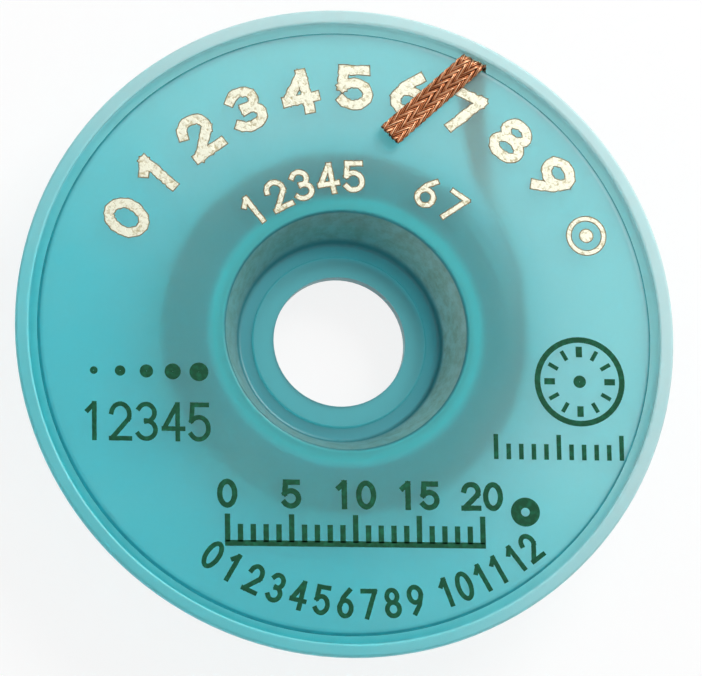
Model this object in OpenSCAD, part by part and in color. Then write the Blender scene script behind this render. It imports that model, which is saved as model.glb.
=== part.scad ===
// Snap-together bobbin of flat copper braid: a flat front disc with a funnel hub that snaps into a
// dished rear disc, the winding on the rear half's drum, and the braid's free end folded over the rim.
// Millimetres. Z is the bobbin's axis, +Z out of the front face. The bobbin lies on the rear base, z = 0.

/* [Overall] */
// Radius of the rear dish, the largest size of the bobbin
rear_r = 26; // [22:0.5:34]
// Height of the front face above the base
face_z = 8; // [6.6:0.1:10]
// How far the rear dish shows past the front disc, radially
rim_band = 1.75; // [1.5:0.05:3]
// How far the rear dish's rim stands above the front face
rim_proud = 0.3; // [0:0.05:0.8]
// Width of the level edge round the rear dish's rim
rim_w = 1.05; // [0.8:0.05:1.2]
// Rounding of that edge
rim_round = 0.2; // [0.1:0.05:0.25]

/* [Front half] */
// Thickness of the front disc
disc_t = 0.9; // [0.7:0.05:1.2]
// Radius of the funnel's mouth, before its lip is rounded
mouth_r = 9.65; // [8:0.05:11.6]
// Rounding of the funnel's lip
lip_round = 0.2; // [0.1:0.05:0.8]
// Height of the groove at the funnel's foot above the base
floor_z = 3.6; // [2.8:0.1:4.6]
// How much the funnel's wall leans in from mouth to groove
funnel_lean = 1.65; // [0.6:0.05:2.2]
// Thickness of the funnel's wall
funnel_wall = 0.75; // [0.5:0.05:1]
// Fillet between the funnel's wall and the groove
floor_fillet = 0.25; // [0.15:0.05:0.6]
// Width of the groove round the floor
groove_w = 1.05; // [0.8:0.05:1.1]
// How far the floor round the bore stands above the groove
floor_rise = 0.2; // [0.1:0.05:0.7]
// Thickness of the floor round the bore
floor_t = 1; // [0.9:0.05:1.4]
// Chamfer on the floor's outer edge
floor_chamfer = 0.1; // [0.05:0.05:0.1]
// Radius of the bore through the floor
bore_r = 5.25; // [3.5:0.05:6]

/* [Snap joint] */
// How far the snap skirt stands inside the floor's edge
skirt_inset = 0.05; // [0:0.05:0.6]
// Thickness of the skirt's wall
skirt_wall = 1.1; // [0.7:0.05:1.3]
// How far the snap bead stands out of the skirt
bead_h = 0.25; // [0.2:0.01:0.35]
// Height of the ledge in the rear hub that the bead catches under
ledge_z = 0.9; // [0.8:0.05:1.1]
// How far the skirt's end stays above the base
skirt_recess = 0.25; // [0.1:0.05:0.35]
// Radial clearance of the skirt in its socket
turn_fit = 0.05; // [0.03:0.01:0.09]
// Axial play of the snap joint
end_play = 0.05; // [0.03:0.01:0.09]

/* [Rear half] */
// How far the flat base ring reaches past the drum
base_reach = 4.6; // [2:0.1:5.5]
// Wall thickness of the rear dish
dish_t = 0.7; // [0.6:0.05:1]
// Slope of the dish where it leaves the base, in degrees
dish_start = 5; // [1:1:12]
// Wall thickness of the drum that carries the winding
drum_wall = 0.75; // [0.5:0.05:1.2]
// Wall thickness of the socket ring round the skirt
socket_wall = 0.85; // [0.5:0.05:0.85]

/* [Braid] */
// Width of the flat braid
braid_w = 2.03; // [1.5:0.01:2.2]
// Thickness of the flat braid
braid_t = 0.45; // [0.35:0.01:0.5]
// Radial thickness of the whole winding on the drum
winding_build = 3.8; // [2:0.1:4.6]
// Space that the winding leaves under the front disc
top_space = 0.385; // [0.3:0.005:0.6]

/* [Hidden] */
$fn = 96;
over = 1;

// ---- heights and radii that follow from the sizes above
front_r = rear_r - rim_band;
disc_under = face_z - disc_t;
floor_top = floor_z + floor_rise;
floor_under = floor_top - floor_t;
lean = atan(funnel_lean / (face_z - floor_z));
wall_x = funnel_wall / cos(lean);
floor_r = mouth_r - funnel_lean;
rise_r = floor_r - groove_w;
skirt_r = floor_r - skirt_inset;
skirt_in = skirt_r - skirt_wall;
socket_r = skirt_r + turn_fit;
bead_r = skirt_r + bead_h;
ledge_r = bead_r + 2 * turn_fit;
drum_in = mouth_r + wall_x - disc_t * tan(lean) + turn_fit;
drum_r = drum_in + drum_wall;
drum_top = disc_under - end_play;
base_r = drum_r + base_reach;

// ---- the dish: an arc from the edge of the base ring, through the middle of the wall, to the rim
arc_from = [base_r + dish_t / 2 * sin(dish_start), dish_t / 2];
arc_to = [rear_r - dish_t / 2, face_z + rim_proud - dish_t / 2];
arc_chord = arc_to - arc_from;
dish_end = 2 * atan2(arc_chord[1], arc_chord[0]) - dish_start;
arc_r = arc_chord[0] / (sin(dish_end) - sin(dish_start));
arc_c = arc_to + arc_r * [-sin(dish_end), cos(dish_end)];

// Height of the dish's inside at a radius.
function dish_top(r) =
    r <= base_r ? dish_t : arc_c[1] - sqrt(pow(arc_r - dish_t / 2, 2) - pow(r - arc_c[0], 2));

// ---- the winding: a plain core, and an outer layer of two laps that winds over it
LOOP_RINGS = 24;
step = 360 / LOOP_RINGS;
turn_in = drum_r + winding_build - braid_t;
turn_r = turn_in + braid_t / 2;
core_r = turn_in * cos(step / 2) - 0.01;
lap_b_z = disc_under - top_space - braid_w / 2;
lap_a_z = (lap_b_z - braid_w / 2 + dish_top(turn_in + braid_t)) / 2;
core_side = 0.12;
leave_at = 4;
cross_from = leave_at + step;
cross_span = 3 * step;
lap_start = cross_from + cross_span + step;
ramp_span = step;

// ---- the free end: centre point and direction of the width, from the drum over the rim
TAIL = [
    [[14.322, 3.037, 5.7], [0, 0, 1]],
    [[14.183, 5, 5.7], [0, 0, 1]],
    [[13.62, 7.05, 5.73], [-0.01, 0, 1]],
    [[12.79, 9.1, 5.77], [-0.15, -0.06, 0.99]],
    [[11.95, 11.1, 5.87], [-0.43, -0.14, 0.89]],
    [[11.29, 13.1, 6.08], [-0.72, -0.16, 0.67]],
    [[10.9, 15.1, 6.38], [-0.92, -0.13, 0.38]],
    [[10.69, 17.1, 6.66], [-0.99, -0.07, 0.11]],
    [[10.62, 19, 6.77], [-1, -0.02, 0]],
    [[10.63, 20.4, 6.76], [-1, 0.03, 0]],
    [[10.69, 21.28, 6.73], [-1, 0.07, 0]],
    [[10.73, 21.73, 6.83], [-0.97, 0.15, -0.16]],
    [[10.74, 22.03, 7.15], [-0.93, 0.31, -0.21]],
    [[10.71, 22.17, 7.55], [-0.88, 0.43, -0.2]],
    [[10.59, 22.11, 7.96], [-0.82, 0.53, -0.21]],
    [[10.36, 21.91, 8.26], [-0.73, 0.67, -0.16]],
    [[10.04, 21.61, 8.36], [-0.67, 0.74, 0]],
    [[9.66, 21.25, 8.36], [-0.67, 0.74, 0]],
    [[8.55, 20.24, 8.36], [-0.67, 0.74, 0]],
    [[7.08, 18.89, 8.39], [-0.67, 0.74, 0]],
    [[5.6, 17.54, 8.48], [-0.67, 0.74, 0]],
    [[4.49, 16.53, 8.6], [-0.67, 0.74, 0]],
    [[3.51, 15.62, 8.74], [-0.67, 0.74, 0]],
];

// ---------------------------------------------------------------- profiles

// Centres of the two rounds of the funnel, each touching the leaning wall and a level face.
lip_c = [mouth_r + lip_round * (1 / cos(lean) - tan(lean)), face_z - lip_round];
fillet_c = [floor_r + floor_fillet * (tan(lean) - 1 / cos(lean)), floor_z + floor_fillet];
wall_out = [cos(lean), -sin(lean)];

// The rounded lip: the part of a circle between the level face and the leaning wall.
module lip_profile() {
    reach = 2 * lip_round;
    intersection() {
        translate(lip_c) circle(r = lip_round);
        polygon([lip_c, lip_c + [0, reach], lip_c + [-reach, reach], lip_c - reach * wall_out]);
    }
}

// Disc, funnel, floor, skirt and bead in one outline, read from the lip inwards and back underneath.
module front_profile() {
    bead_top = ledge_z - end_play;
    difference() {
        union() {
            polygon([
                [lip_c[0], face_z],
                lip_c,
                lip_c - lip_round * wall_out,
                fillet_c + floor_fillet * wall_out,
                [fillet_c[0], floor_z],
                [rise_r, floor_z],
                [rise_r, floor_top - floor_chamfer],
                [rise_r - floor_chamfer, floor_top],
                [bore_r, floor_top],
                [bore_r, floor_under],
                [skirt_in, floor_under],
                [skirt_in, skirt_recess],
                [skirt_r, skirt_recess],
                [bead_r, bead_top - bead_h / 2],
                [bead_r, bead_top],
                [skirt_r, bead_top],
                [skirt_r, floor_under],
                [floor_r + wall_x, floor_under],
                [floor_r + wall_x, floor_z],
                [mouth_r + wall_x - disc_t * tan(lean), disc_under],
                [front_r - disc_t / 2, disc_under],
                [front_r - disc_t / 2, face_z]
            ]);
            lip_profile();
            translate([front_r - disc_t / 2, disc_under + disc_t / 2]) circle(d = disc_t);
        }
        translate(fillet_c) circle(r = floor_fillet);
    }
}

// The level edge of the dish's rim: a bar with rounded corners.
module rim_profile() {
    x = rear_r - rim_w;
    z = face_z + rim_proud - dish_t;
    translate([x + rim_round, z]) square([rim_w - 2 * rim_round, dish_t]);
    translate([x, z + rim_round]) square([rim_w, dish_t - 2 * rim_round]);
    for (i = [rim_round, rim_w - rim_round]) for (j = [rim_round, dish_t - rim_round])
        translate([x + i, z + j]) circle(r = rim_round);
}

// The dish's wall: the part of a round shell between the two slopes, up to the rim.
module dish_profile() {
    far = 2 * arc_r;
    intersection() {
        difference() {
            translate(arc_c) circle(r = arc_r + dish_t / 2, $fn = 360);
            translate(arc_c) circle(r = arc_r - dish_t / 2, $fn = 360);
        }
        polygon([arc_c, arc_c + far * [sin(dish_start), -cos(dish_start)],
                 arc_c + far * [sin(dish_end), -cos(dish_end)]]);
        translate([base_r - over, 0]) square([rear_r, 2 * face_z]);
    }
    rim_profile();
}

module rear_profile() {
    difference() {
        union() {
            translate([socket_r, 0]) square([base_r + dish_t * sin(dish_start) - socket_r, dish_t]);
            translate([socket_r, 0]) square([socket_wall, floor_under - end_play]);
        }
        translate([socket_r - over, -over]) square([ledge_r - socket_r + over, ledge_z + over]);
    }
    translate([drum_in, dish_t / 2]) square([drum_wall, drum_top - dish_t / 2]);
    dish_profile();
}

// ---------------------------------------------------------------- sweeping a flat braid

function unit(v) = v / norm(v);

// Rings of a flat section along a route of [centre, width direction] rows.
function rings(route, section) = [
    for (i = [0 : len(route) - 1])
        let (before = route[max(i - 1, 0)][0], after = route[min(i + 1, len(route) - 1)][0],
             along = unit(after - before), raw = route[i][1],
             wide = unit(raw - (raw * along) * along), thick = cross(along, wide))
        [for (q = section) route[i][0] + q[0] * wide + q[1] * thick]
];

// Flat hexagon and octagon sections, as [along the width, along the thickness].
hexagon = [for (q = [[1, 0], [0.78, 1], [-0.78, 1], [-1, 0], [-0.78, -1], [0.78, -1]])
    [q[0] * braid_w / 2, q[1] * braid_t / 2]];
octagon = [for (q = [[1, -0.4], [1, 0.4], [0.8, 1], [-0.8, 1], [-1, 0.4], [-1, -0.4], [-0.8, -1], [0.8, -1]])
    [q[0] * braid_w / 2, q[1] * braid_t / 2]];

module sweep(loops) {
    n = len(loops[0]);
    last = len(loops) - 1;
    polyhedron(
        points = [for (ring = loops) for (p = ring) p],
        faces = concat(
            [for (i = [0 : last - 1]) for (j = [0 : n - 1]) each
                let (a = i * n + j, b = i * n + (j + 1) % n)
                [[a, b, b + n], [a, b + n, a + n]]],
            [for (j = [1 : n - 2]) [0, j + 1, j]],
            [for (j = [1 : n - 2]) [last * n, last * n + j, last * n + j + 1]]
        ),
        convexity = 6
    );
}

// Height of the outer layer at a winding angle: the lower lap, an S-shaped crossing, the upper lap.
function eased(u) = let (v = min(max(u, 0), 1)) v * v * (3 - 2 * v);
function lap_z(angle) = lap_a_z + (lap_b_z - lap_a_z) * eased((angle - 360 - cross_from) / cross_span);
function on_drum(angle, ahead = 0) =
    [turn_r * cos(angle) - ahead * sin(angle), turn_r * sin(angle) + ahead * cos(angle), lap_z(angle)];

// The outer layer leaves its ramp straight, winds to the exit and runs straight again.
winding_end = leave_at + 720;
winding_rings = floor((winding_end - lap_start) / step);
winding_route = concat(
    [[on_drum(lap_start, -braid_w), [0, 0, 1]]],
    [for (i = [0 : winding_rings])
        [on_drum(lap_start + (winding_end - lap_start) * i / winding_rings), [0, 0, 1]]],
    [[on_drum(winding_end, braid_w), [0, 0, 1]]]
);
winding = rings(winding_route, hexagon);

// Least distance between points of the winding that are over a third of a loop apart along it.
least_gap = min([for (i = [0 : len(winding) - 1]) for (j = [i + LOOP_RINGS / 3 : 1 : len(winding) - 1])
    for (p = winding[i]) for (q = winding[j]) norm(p - q)]);
echo(least_gap = least_gap);

// ---------------------------------------------------------------- the pieces

module front_shell() {
    color("#6fcdd2") rotate_extrude($fn = 180) front_profile();
}

module rear_shell() {
    color("#8fd6da") rotate_extrude($fn = 180) rear_profile();
}

// Where the braid climbs from the layer below, up to the square face that the outer layer starts from.
module climb_ramp() {
    face_r = turn_in + braid_t;
    root_r = core_r - braid_t;
    face_angle = -asin(braid_w / face_r);
    steps = 8;
    translate([0, 0, lap_a_z - braid_w / 2]) linear_extrude(braid_w) polygon(concat(
        [[sqrt(root_r * root_r - braid_w * braid_w), -braid_w]],
        [for (i = [0 : steps])
            let (u = i / steps, r = face_r + (core_r - face_r) * eased(u), a = face_angle - u * ramp_span)
            [r * cos(a), r * sin(a)]],
        [root_r * [cos(face_angle - ramp_span), sin(face_angle - ramp_span)]]
    ));
}

// The inner layers, as wide as the space between the disc and the dish.
module braid_core() {
    bottom = dish_t + core_side;
    top = disc_under - top_space;
    outer = base_r < core_r ? [[base_r, bottom], [core_r, dish_top(core_r) + core_side]] : [[core_r, bottom]];
    color("#a85f3f") {
        rotate_extrude($fn = 180) polygon(concat([[drum_r, bottom]], outer, [[core_r, top], [drum_r, top]]));
        rotate(lap_start) climb_ramp();
    }
}

module braid_turns() {
    color("#b5633f") sweep(winding);
}

module braid_tail() {
    color("#c4714a") sweep(rings(TAIL, octagon));
}

front_shell();
rear_shell();
braid_core();
braid_turns();
braid_tail();
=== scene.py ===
import math

import bpy
import numpy as np
from mathutils import Matrix, Vector


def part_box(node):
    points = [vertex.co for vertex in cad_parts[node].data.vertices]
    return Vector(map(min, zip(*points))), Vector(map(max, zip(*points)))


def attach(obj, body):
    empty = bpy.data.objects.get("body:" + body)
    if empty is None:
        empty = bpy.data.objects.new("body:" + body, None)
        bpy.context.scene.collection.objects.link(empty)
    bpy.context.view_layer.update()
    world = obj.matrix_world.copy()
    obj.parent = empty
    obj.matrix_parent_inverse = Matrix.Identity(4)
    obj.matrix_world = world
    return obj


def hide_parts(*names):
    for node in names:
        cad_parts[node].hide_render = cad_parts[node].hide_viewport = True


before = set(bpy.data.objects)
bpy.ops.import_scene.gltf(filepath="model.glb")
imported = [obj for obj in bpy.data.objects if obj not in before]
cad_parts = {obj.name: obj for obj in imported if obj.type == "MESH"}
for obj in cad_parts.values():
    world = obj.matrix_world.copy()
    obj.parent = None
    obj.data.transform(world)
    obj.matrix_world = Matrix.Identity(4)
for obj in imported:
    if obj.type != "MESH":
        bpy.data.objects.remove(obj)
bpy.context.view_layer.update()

MM = 0.001
FACE_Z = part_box("front_shell")[1].z
REAR, FRONT = "rear_half", "front_half"

bl_info = {
    "name": "Braid bobbin",
    "version": (1, 0, 0),
    "blender": (4, 5, 0),
    "location": "View3D > Sidebar > Bobbin",
    "description": "Woven copper braid, printed marks and moulded plastic for a desoldering braid bobbin",
    "category": "Object",
}

# The free end's route, in millimetres: centre point, then the direction of the braid's width.
TAIL = np.array([
    [14.322, 3.037, 5.7, 0, 0, 1],
    [14.183, 5, 5.7, 0, 0, 1],
    [13.62, 7.05, 5.73, -0.01, 0, 1],
    [12.79, 9.1, 5.77, -0.15, -0.06, 0.99],
    [11.95, 11.1, 5.87, -0.43, -0.14, 0.89],
    [11.29, 13.1, 6.08, -0.72, -0.16, 0.67],
    [10.9, 15.1, 6.38, -0.92, -0.13, 0.38],
    [10.69, 17.1, 6.66, -0.99, -0.07, 0.11],
    [10.62, 19, 6.77, -1, -0.02, 0],
    [10.63, 20.4, 6.76, -1, 0.03, 0],
    [10.69, 21.28, 6.73, -1, 0.07, 0],
    [10.73, 21.73, 6.83, -0.97, 0.15, -0.16],
    [10.74, 22.03, 7.15, -0.93, 0.31, -0.21],
    [10.71, 22.17, 7.55, -0.88, 0.43, -0.2],
    [10.59, 22.11, 7.96, -0.82, 0.53, -0.21],
    [10.36, 21.91, 8.26, -0.73, 0.67, -0.16],
    [10.04, 21.61, 8.36, -0.67, 0.74, 0],
    [9.66, 21.25, 8.36, -0.67, 0.74, 0],
    [8.55, 20.24, 8.36, -0.67, 0.74, 0],
    [7.08, 18.89, 8.39, -0.67, 0.74, 0],
    [5.6, 17.54, 8.48, -0.67, 0.74, 0],
    [4.49, 16.53, 8.6, -0.67, 0.74, 0],
    [3.51, 15.62, 8.74, -0.67, 0.74, 0],
])


def linear(code):
    """A colour written as sRGB hex, in the linear values that a shader takes."""
    s = np.array([int(code[i:i + 2], 16) for i in (1, 3, 5)]) / 255
    return (*np.where(s <= 0.04045, s / 12.92, ((s + 0.055) / 1.055) ** 2.4), 1.0)


# ---------------- settings

def length(name, about, default):
    return bpy.props.FloatProperty(name=name, description=about, default=default, min=0.0, unit="LENGTH",
                                   subtype="DISTANCE", precision=5)


def colour(name, about, code):
    return bpy.props.FloatVectorProperty(name=name, description=about, default=linear(code), size=4,
                                         subtype="COLOR", min=0.0, max=1.0)


def share(name, about, default):
    return bpy.props.FloatProperty(name=name, description=about, default=default, min=0.0, max=1.0,
                                   subtype="FACTOR")


class BraidSettings(bpy.types.PropertyGroup):
    width: length("Width", "Width of the flat braid", 2.03 * MM)
    thickness: length("Thickness", "Thickness of the flat braid", 0.45 * MM)
    wire: length("Wire", "Diameter of one copper wire", 0.108 * MM)
    angle: bpy.props.FloatProperty(name="Braid angle", description="Slant of the strands to the strip's edge",
                                   default=math.radians(17.5), unit="ROTATION", subtype="ANGLE")
    # Painted light: the bright copper is a painted highlight on the crests of the bundles. The dull copper is
    # painted shade in the gaps between them and also shows where random tarnish falls.
    bright: colour("Bright copper", "Copper on the crests of the bundles", "#E2AF87")
    body: colour("Copper", "Copper over most of the braid", "#BE7448")
    dull: colour("Dull copper", "Tarnished copper between the bundles", "#572914")


class PlasticSettings(bpy.types.PropertyGroup):
    # Painted light: the pale tint is used on the side towards the lamp at upper right, the deep tint away
    # from it.
    front_pale: colour("Front, pale", "Tint of the front shell at its pale side", "#E6FAFA")
    front_deep: colour("Front, deep", "Tint of the front shell at its deep side and the mouth", "#90F0F4")
    # Painted shade: the recess's floor is tinted darker for the shade inside the recess.
    hub: colour("Recess floor", "Tint of the recess's floor, which a coarser core pin moulded", "#60BEC4")
    wall: colour("Recess wall", "Tint of the recess's wall, with the copper close behind it", "#C8F8F4")
    wall_dark: colour("Recess wall, dark", "Darker mottle on the recess's wall", "#ACD6C6")
    drum: colour("Drum", "Tint of the front shell over the drum's wall", "#70FFFF")
    line: colour("Edges", "Tint of the lip and of the disc's edge", "#3FA9B2")
    # Painted shade: the rear shell's deeper tint round the winding stands for the winding's blurred shade
    # seen through the plastic.
    rear_core: colour("Rear, core", "Tint of the rear shell round the winding", "#7CC9D0")
    # Painted light: the rear shell's pale tint is used on the side towards the lamp at upper right.
    rear_pale: colour("Rear, pale", "Tint of the rear shell at its pale side", "#CCFAFB")
    rear_deep: colour("Rear, deep", "Tint of the rear shell at its deep side", "#A0ECF0")
    # Painted light: the rim's pale tint is used on the lamp's side. The rim's tint also covers the groove
    # inside the rim, lightening its shade.
    rim_pale: colour("Rim, pale", "Tint of the rear shell's rim at its pale side", "#E2FBFB")
    rim_deep: colour("Rim, deep", "Tint of the rear shell's rim at its deep side", "#84EEF3")
    front_clear: share("Front see-through", "Share of the light that passes into the front shell", 0.84)
    rear_clear: share("Rear see-through", "Share of the light that passes into the rear shell", 0.9)


class MarkSettings(bpy.types.PropertyGroup):
    numeral: length("Numeral height", "Height of the outer foil numerals", 3.6 * MM)
    stroke: length("Numeral stroke", "Width of a stroke of the outer foil numerals", 0.72 * MM)
    foil: colour("Foil", "Hot-stamped foil", "#F0F0DA")
    foil_worn: colour("Foil, worn", "Foil where it is crinkled or thin", "#BFB48C")
    foil_edge: colour("Foil edge", "Burnt edge of the foil", "#8C7A52")
    ink: colour("Ink", "Printed ink", "#064A2E")
    ink_thin: colour("Ink, thin", "Printed ink where it is thin", "#146848")


class BobbinSettings(bpy.types.PropertyGroup):
    braid: bpy.props.PointerProperty(type=BraidSettings, name="Braid", description="Copper braid")
    plastic: bpy.props.PointerProperty(type=PlasticSettings, name="Plastic", description="Moulded plastic")
    marks: bpy.props.PointerProperty(type=MarkSettings, name="Marks", description="Foil and ink marks")


# ---------------- meshes

def add_piece(name, points, faces, material, body, smooth=True, uv=None):
    """Puts whole arrays of points and faces into a new object at the origin, which rides on a body."""
    mesh = bpy.data.meshes.new(name)
    mesh.from_pydata(points.tolist(), [], [list(f) for f in faces])
    mesh.polygons.foreach_set("use_smooth", np.full(len(mesh.polygons), smooth))
    if uv is not None:
        layer = mesh.uv_layers.new(name="braid")
        index = np.zeros(len(mesh.loops), int)
        mesh.loops.foreach_get("vertex_index", index)
        layer.data.foreach_set("uv", uv[index].ravel())
    mesh.materials.append(material)
    mesh.validate()
    mesh.update()
    piece = bpy.data.objects.new(name, mesh)
    bpy.context.scene.collection.objects.link(piece)
    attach(piece, body)
    return piece


# The braid's map counts in centimetres along the strip.
UV_LENGTH = 10 * MM


def curve_through(rows, count):
    """A smooth curve through rows of [centre, width direction].

    Between two rows the centre is a cubic whose slope at each row is the mean of the two neighbouring
    chords, weighted by the other chord's length. The curve is then cut into equal lengths. Returns the
    centres, the unit vectors along, across and through the strip, and the distance along it."""
    centre, width = rows[:, :3], rows[:, 3:]
    h = np.linalg.norm(np.diff(centre, axis=0), axis=1)
    knots = np.concatenate([[0], np.cumsum(h)])
    chord = np.diff(centre, axis=0) / h[:, None]
    inner = (chord[:-1] * h[1:, None] + chord[1:] * h[:-1, None]) / (h[1:] + h[:-1])[:, None]
    slope = np.vstack([chord[:1], inner, chord[-1:]])

    def point(x):
        i = np.clip(np.searchsorted(knots, x, side="right") - 1, 0, len(h) - 1)
        t = ((x - knots[i]) / h[i])[:, None]
        return ((2 * t**3 - 3 * t**2 + 1) * centre[i] + (t**3 - 2 * t**2 + t) * h[i][:, None] * slope[i]
                + (3 * t**2 - 2 * t**3) * centre[i + 1] + (t**3 - t**2) * h[i][:, None] * slope[i + 1])

    fine = np.linspace(0, knots[-1], 8 * count)
    run = np.concatenate([[0], np.cumsum(np.linalg.norm(np.diff(point(fine), axis=0), axis=1))])
    x = np.interp(np.linspace(0, run[-1], count), run, fine)
    points = point(x)
    along = np.gradient(points, axis=0)
    along /= np.linalg.norm(along, axis=1)[:, None]
    wide = np.stack([np.interp(x, knots, width[:, k]) for k in range(3)], axis=1)
    wide -= (wide * along).sum(1)[:, None] * along
    wide /= np.linalg.norm(wide, axis=1)[:, None]
    return points, along, wide, np.cross(along, wide), np.linspace(0, run[-1], count)


def flat_loop(u, width, thickness):
    """A flattened ring: two straight runs joined by half circles, at a share u of the way round.

    Returns the place across and through the strip, and the outward direction there."""
    r = thickness / 2
    side = width - thickness
    whole = 2 * side + 2 * math.pi * r
    d = np.mod(u, 1) * whole
    turn_a = math.pi / 2 + (d - side) / r
    turn_b = -math.pi / 2 + (d - 2 * side - math.pi * r) / r
    where = [d < side, d < side + math.pi * r, d < 2 * side + math.pi * r]
    a = np.select(where, [side / 2 - d, -side / 2 + r * np.cos(turn_a), -side / 2 + d - side - math.pi * r],
                  side / 2 + r * np.cos(turn_b))
    b = np.select(where, [np.full_like(d, r), r * np.sin(turn_a), np.full_like(d, -r)], r * np.sin(turn_b))
    na = np.select(where, [np.zeros_like(d), np.cos(turn_a), np.zeros_like(d)], np.cos(turn_b))
    nb = np.select(where, [np.ones_like(d), np.sin(turn_a), -np.ones_like(d)], np.sin(turn_b))
    return a, b, na, nb, whole


def grid_faces(rows, around, closed_ends=True):
    """Quads of a tube of `rows` rings of `around` points, and one face over each end."""
    i, j = np.meshgrid(np.arange(rows - 1), np.arange(around), indexing="ij")
    k = (j + 1) % around
    quads = np.stack([i * around + j, i * around + k, (i + 1) * around + k, (i + 1) * around + j], axis=-1)
    faces = quads.reshape(-1, 4).tolist()
    if closed_ends:
        faces += [list(range(around))[::-1], list(range((rows - 1) * around, rows * around))]
    return faces


def woven(route, braid, carriers, wires, sides, samples, across, through, seed):
    """A flat braid of bundles that pass over two and under two.

    Each bundle runs round the flattened ring at a steady slant while it goes along the route, half of them
    one way and half the other. Its distance from the middle of the wall is a clipped cosine of its place
    round the ring, and the two ways have opposite signs, so they pass over and under each other. A bundle
    is a row of wires, and each wire is a tube round its own line."""
    centre, _, wide, thick, run = curve_through(route, samples)
    rng = np.random.default_rng(seed)
    # The lines run inside the strip's outline, by what the wires and their weave stand off them.
    width, thickness = braid.width - 1.1 * through, braid.thickness - 2.9 * through
    whole = flat_loop(np.zeros(1), width, thickness)[4]
    pitch = whole / math.tan(braid.angle)
    way = np.repeat([1.0, -1.0], carriers * wires)
    carrier = np.tile(np.repeat(np.arange(carriers), wires), 2)
    place = np.tile(np.arange(wires) - (wires - 1) / 2, 2 * carriers)
    n = len(way)
    # Each wire wanders on two slow waves. As shares of a wire: how close the wires of a bundle lie, how far
    # they wander sideways and in height, how far a bundle rises and dips, and how far its sides fall away.
    long_wave, short_wave = 1.7 * MM, 0.63 * MM
    close, aside, aloft, weave, fall = 0.96, 0.16, 0.09, 0.55, 0.5
    slow = rng.uniform(0, 2 * math.pi, (2, n))[:, :, None]
    drift = np.sin(run / long_wave + slow[0]) + 0.6 * np.sin(run / short_wave + slow[1])
    step = (close * across * place / math.cos(braid.angle) / whole)[:, None] + aside * across * drift / whole
    u = carrier[:, None] / carriers + way[:, None] * run / pitch + step
    over = np.clip(1.5 * np.cos(math.pi / 2 * (2 * carriers * u - 0.5)), -1, 1)
    crown = (place / max(1, (wires - 1) / 2))[:, None] ** 2 if wires > 1 else 0.0
    lift = through * (weave * way[:, None] * over + aloft * drift[:, ::-1] - fall * crown)
    a, b, na, nb, _ = flat_loop(u, width, thickness)
    line = centre + (a + lift * na)[..., None] * wide + (b + lift * nb)[..., None] * thick
    out = na[..., None] * wide + nb[..., None] * thick
    forward = np.gradient(line, axis=1)
    forward /= np.linalg.norm(forward, axis=2)[..., None]
    side = np.cross(forward, out)
    side /= np.linalg.norm(side, axis=2)[..., None]
    out = np.cross(side, forward)
    # Cut ends: each wire stops a little short of the others.
    ragged = 0.13 * MM
    line[:, -1] -= forward[:, -1] * rng.uniform(0, ragged, n)[:, None]
    about = np.arange(sides) / sides * 2 * math.pi
    ring = (line[:, :, None] + np.cos(about)[:, None] * out[:, :, None] * through / 2
            + np.sin(about)[:, None] * side[:, :, None] * across / 2)
    faces = np.array(grid_faces(samples, sides, False))
    size = samples * sides
    start = np.arange(n)[:, None] * size
    quads = (faces + start[:, :, None]).reshape(-1, 4).tolist()
    first = start + np.arange(sides)
    caps = np.vstack([first[:, ::-1], first + size - sides]).tolist()
    # The map's second number is how far out a point lies: 1 on a crest that passes over, 0 in a gap. It is
    # painted light: the copper is lighter on the crests and on the outer side of each wire, and darker in the
    # gaps and at the bundles' sides.
    crest = np.clip(0.78 + 0.65 * way[:, None] * over, 0, 1) - 0.36 * crown
    crest = crest[:, :, None] * (0.62 + 0.38 * np.cos(about))
    uv = np.stack(np.broadcast_arrays(run[None, :, None] / UV_LENGTH, crest), axis=-1)
    return ring.reshape(-1, 3), quads + caps, uv.reshape(-1, 2)


# ---------------- materials

def node(tree, kind, inputs=None, stops=None, **settings):
    """Adds one shader node, with its settings, and its inputs as values or as links from other outputs."""
    new = tree.nodes.new("ShaderNode" + kind)
    for key, value in settings.items():
        setattr(new, key, value)
    for key, value in (inputs or {}).items():
        if isinstance(value, bpy.types.NodeSocket):
            tree.links.new(value, new.inputs[key])
        else:
            new.inputs[key].default_value = value
    if stops:
        ramp = new.color_ramp.elements
        while len(ramp) < len(stops):
            ramp.new(0.5)
        for mark, (place, tint) in zip(ramp, stops):
            mark.position, mark.color = place, tint
    return new


def material(name):
    """A new material and its empty node tree."""
    made = bpy.data.materials.new(name)
    made.use_nodes = True
    made.node_tree.nodes.clear()
    return made, made.node_tree


# Where the shells' tints change: from and to, in millimetres, as radii and then as heights.
MOUTH_EDGE, LIP_EDGE, DRUM_WALL, DISC_EDGE = (9.6, 9.75), (9.62, 9.78), (10.5, 11.2), (24.0, 24.12)
PALE_SIDE, DISH_CORE, GROOVE = (11.0, 17.5), (14.0, 22.0), (24.1, 24.5)
RIM_BAR, RIM_FALL = (24.85, 24.95), (24.9, 26.0)
WALL_FOOT, LIP_FOOT, FACE_EDGE = (4.0, 4.5), (7.6, 7.75), (7.7, 8.0)

# How wide the features of each pattern are: in the plastic, on the copper, and in the foil and ink.
CLOUD, SATIN, TOOL_GRAIN, MOTTLE = 6.25 * MM, 1.111 * MM, 0.25 * MM, 0.909 * MM
TARNISH, DIE_LINE = 0.7143 * MM, 0.1111 * MM
CRINKLE, SCORCH, INK_DEPTH = 0.3125 * MM, 0.4167 * MM, 0.3846 * MM


def rising(value, edges):
    """Inputs for a range that is 0 up to the first edge and 1 from the second, both in millimetres."""
    return {"Value": value, "From Min": edges[0] * MM, "From Max": edges[1] * MM}


def falling(value, edges):
    """The same the other way round: 1 up to the first edge and 0 from the second."""
    return {**rising(value, edges), "To Min": 1.0, "To Max": 0.0}


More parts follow.
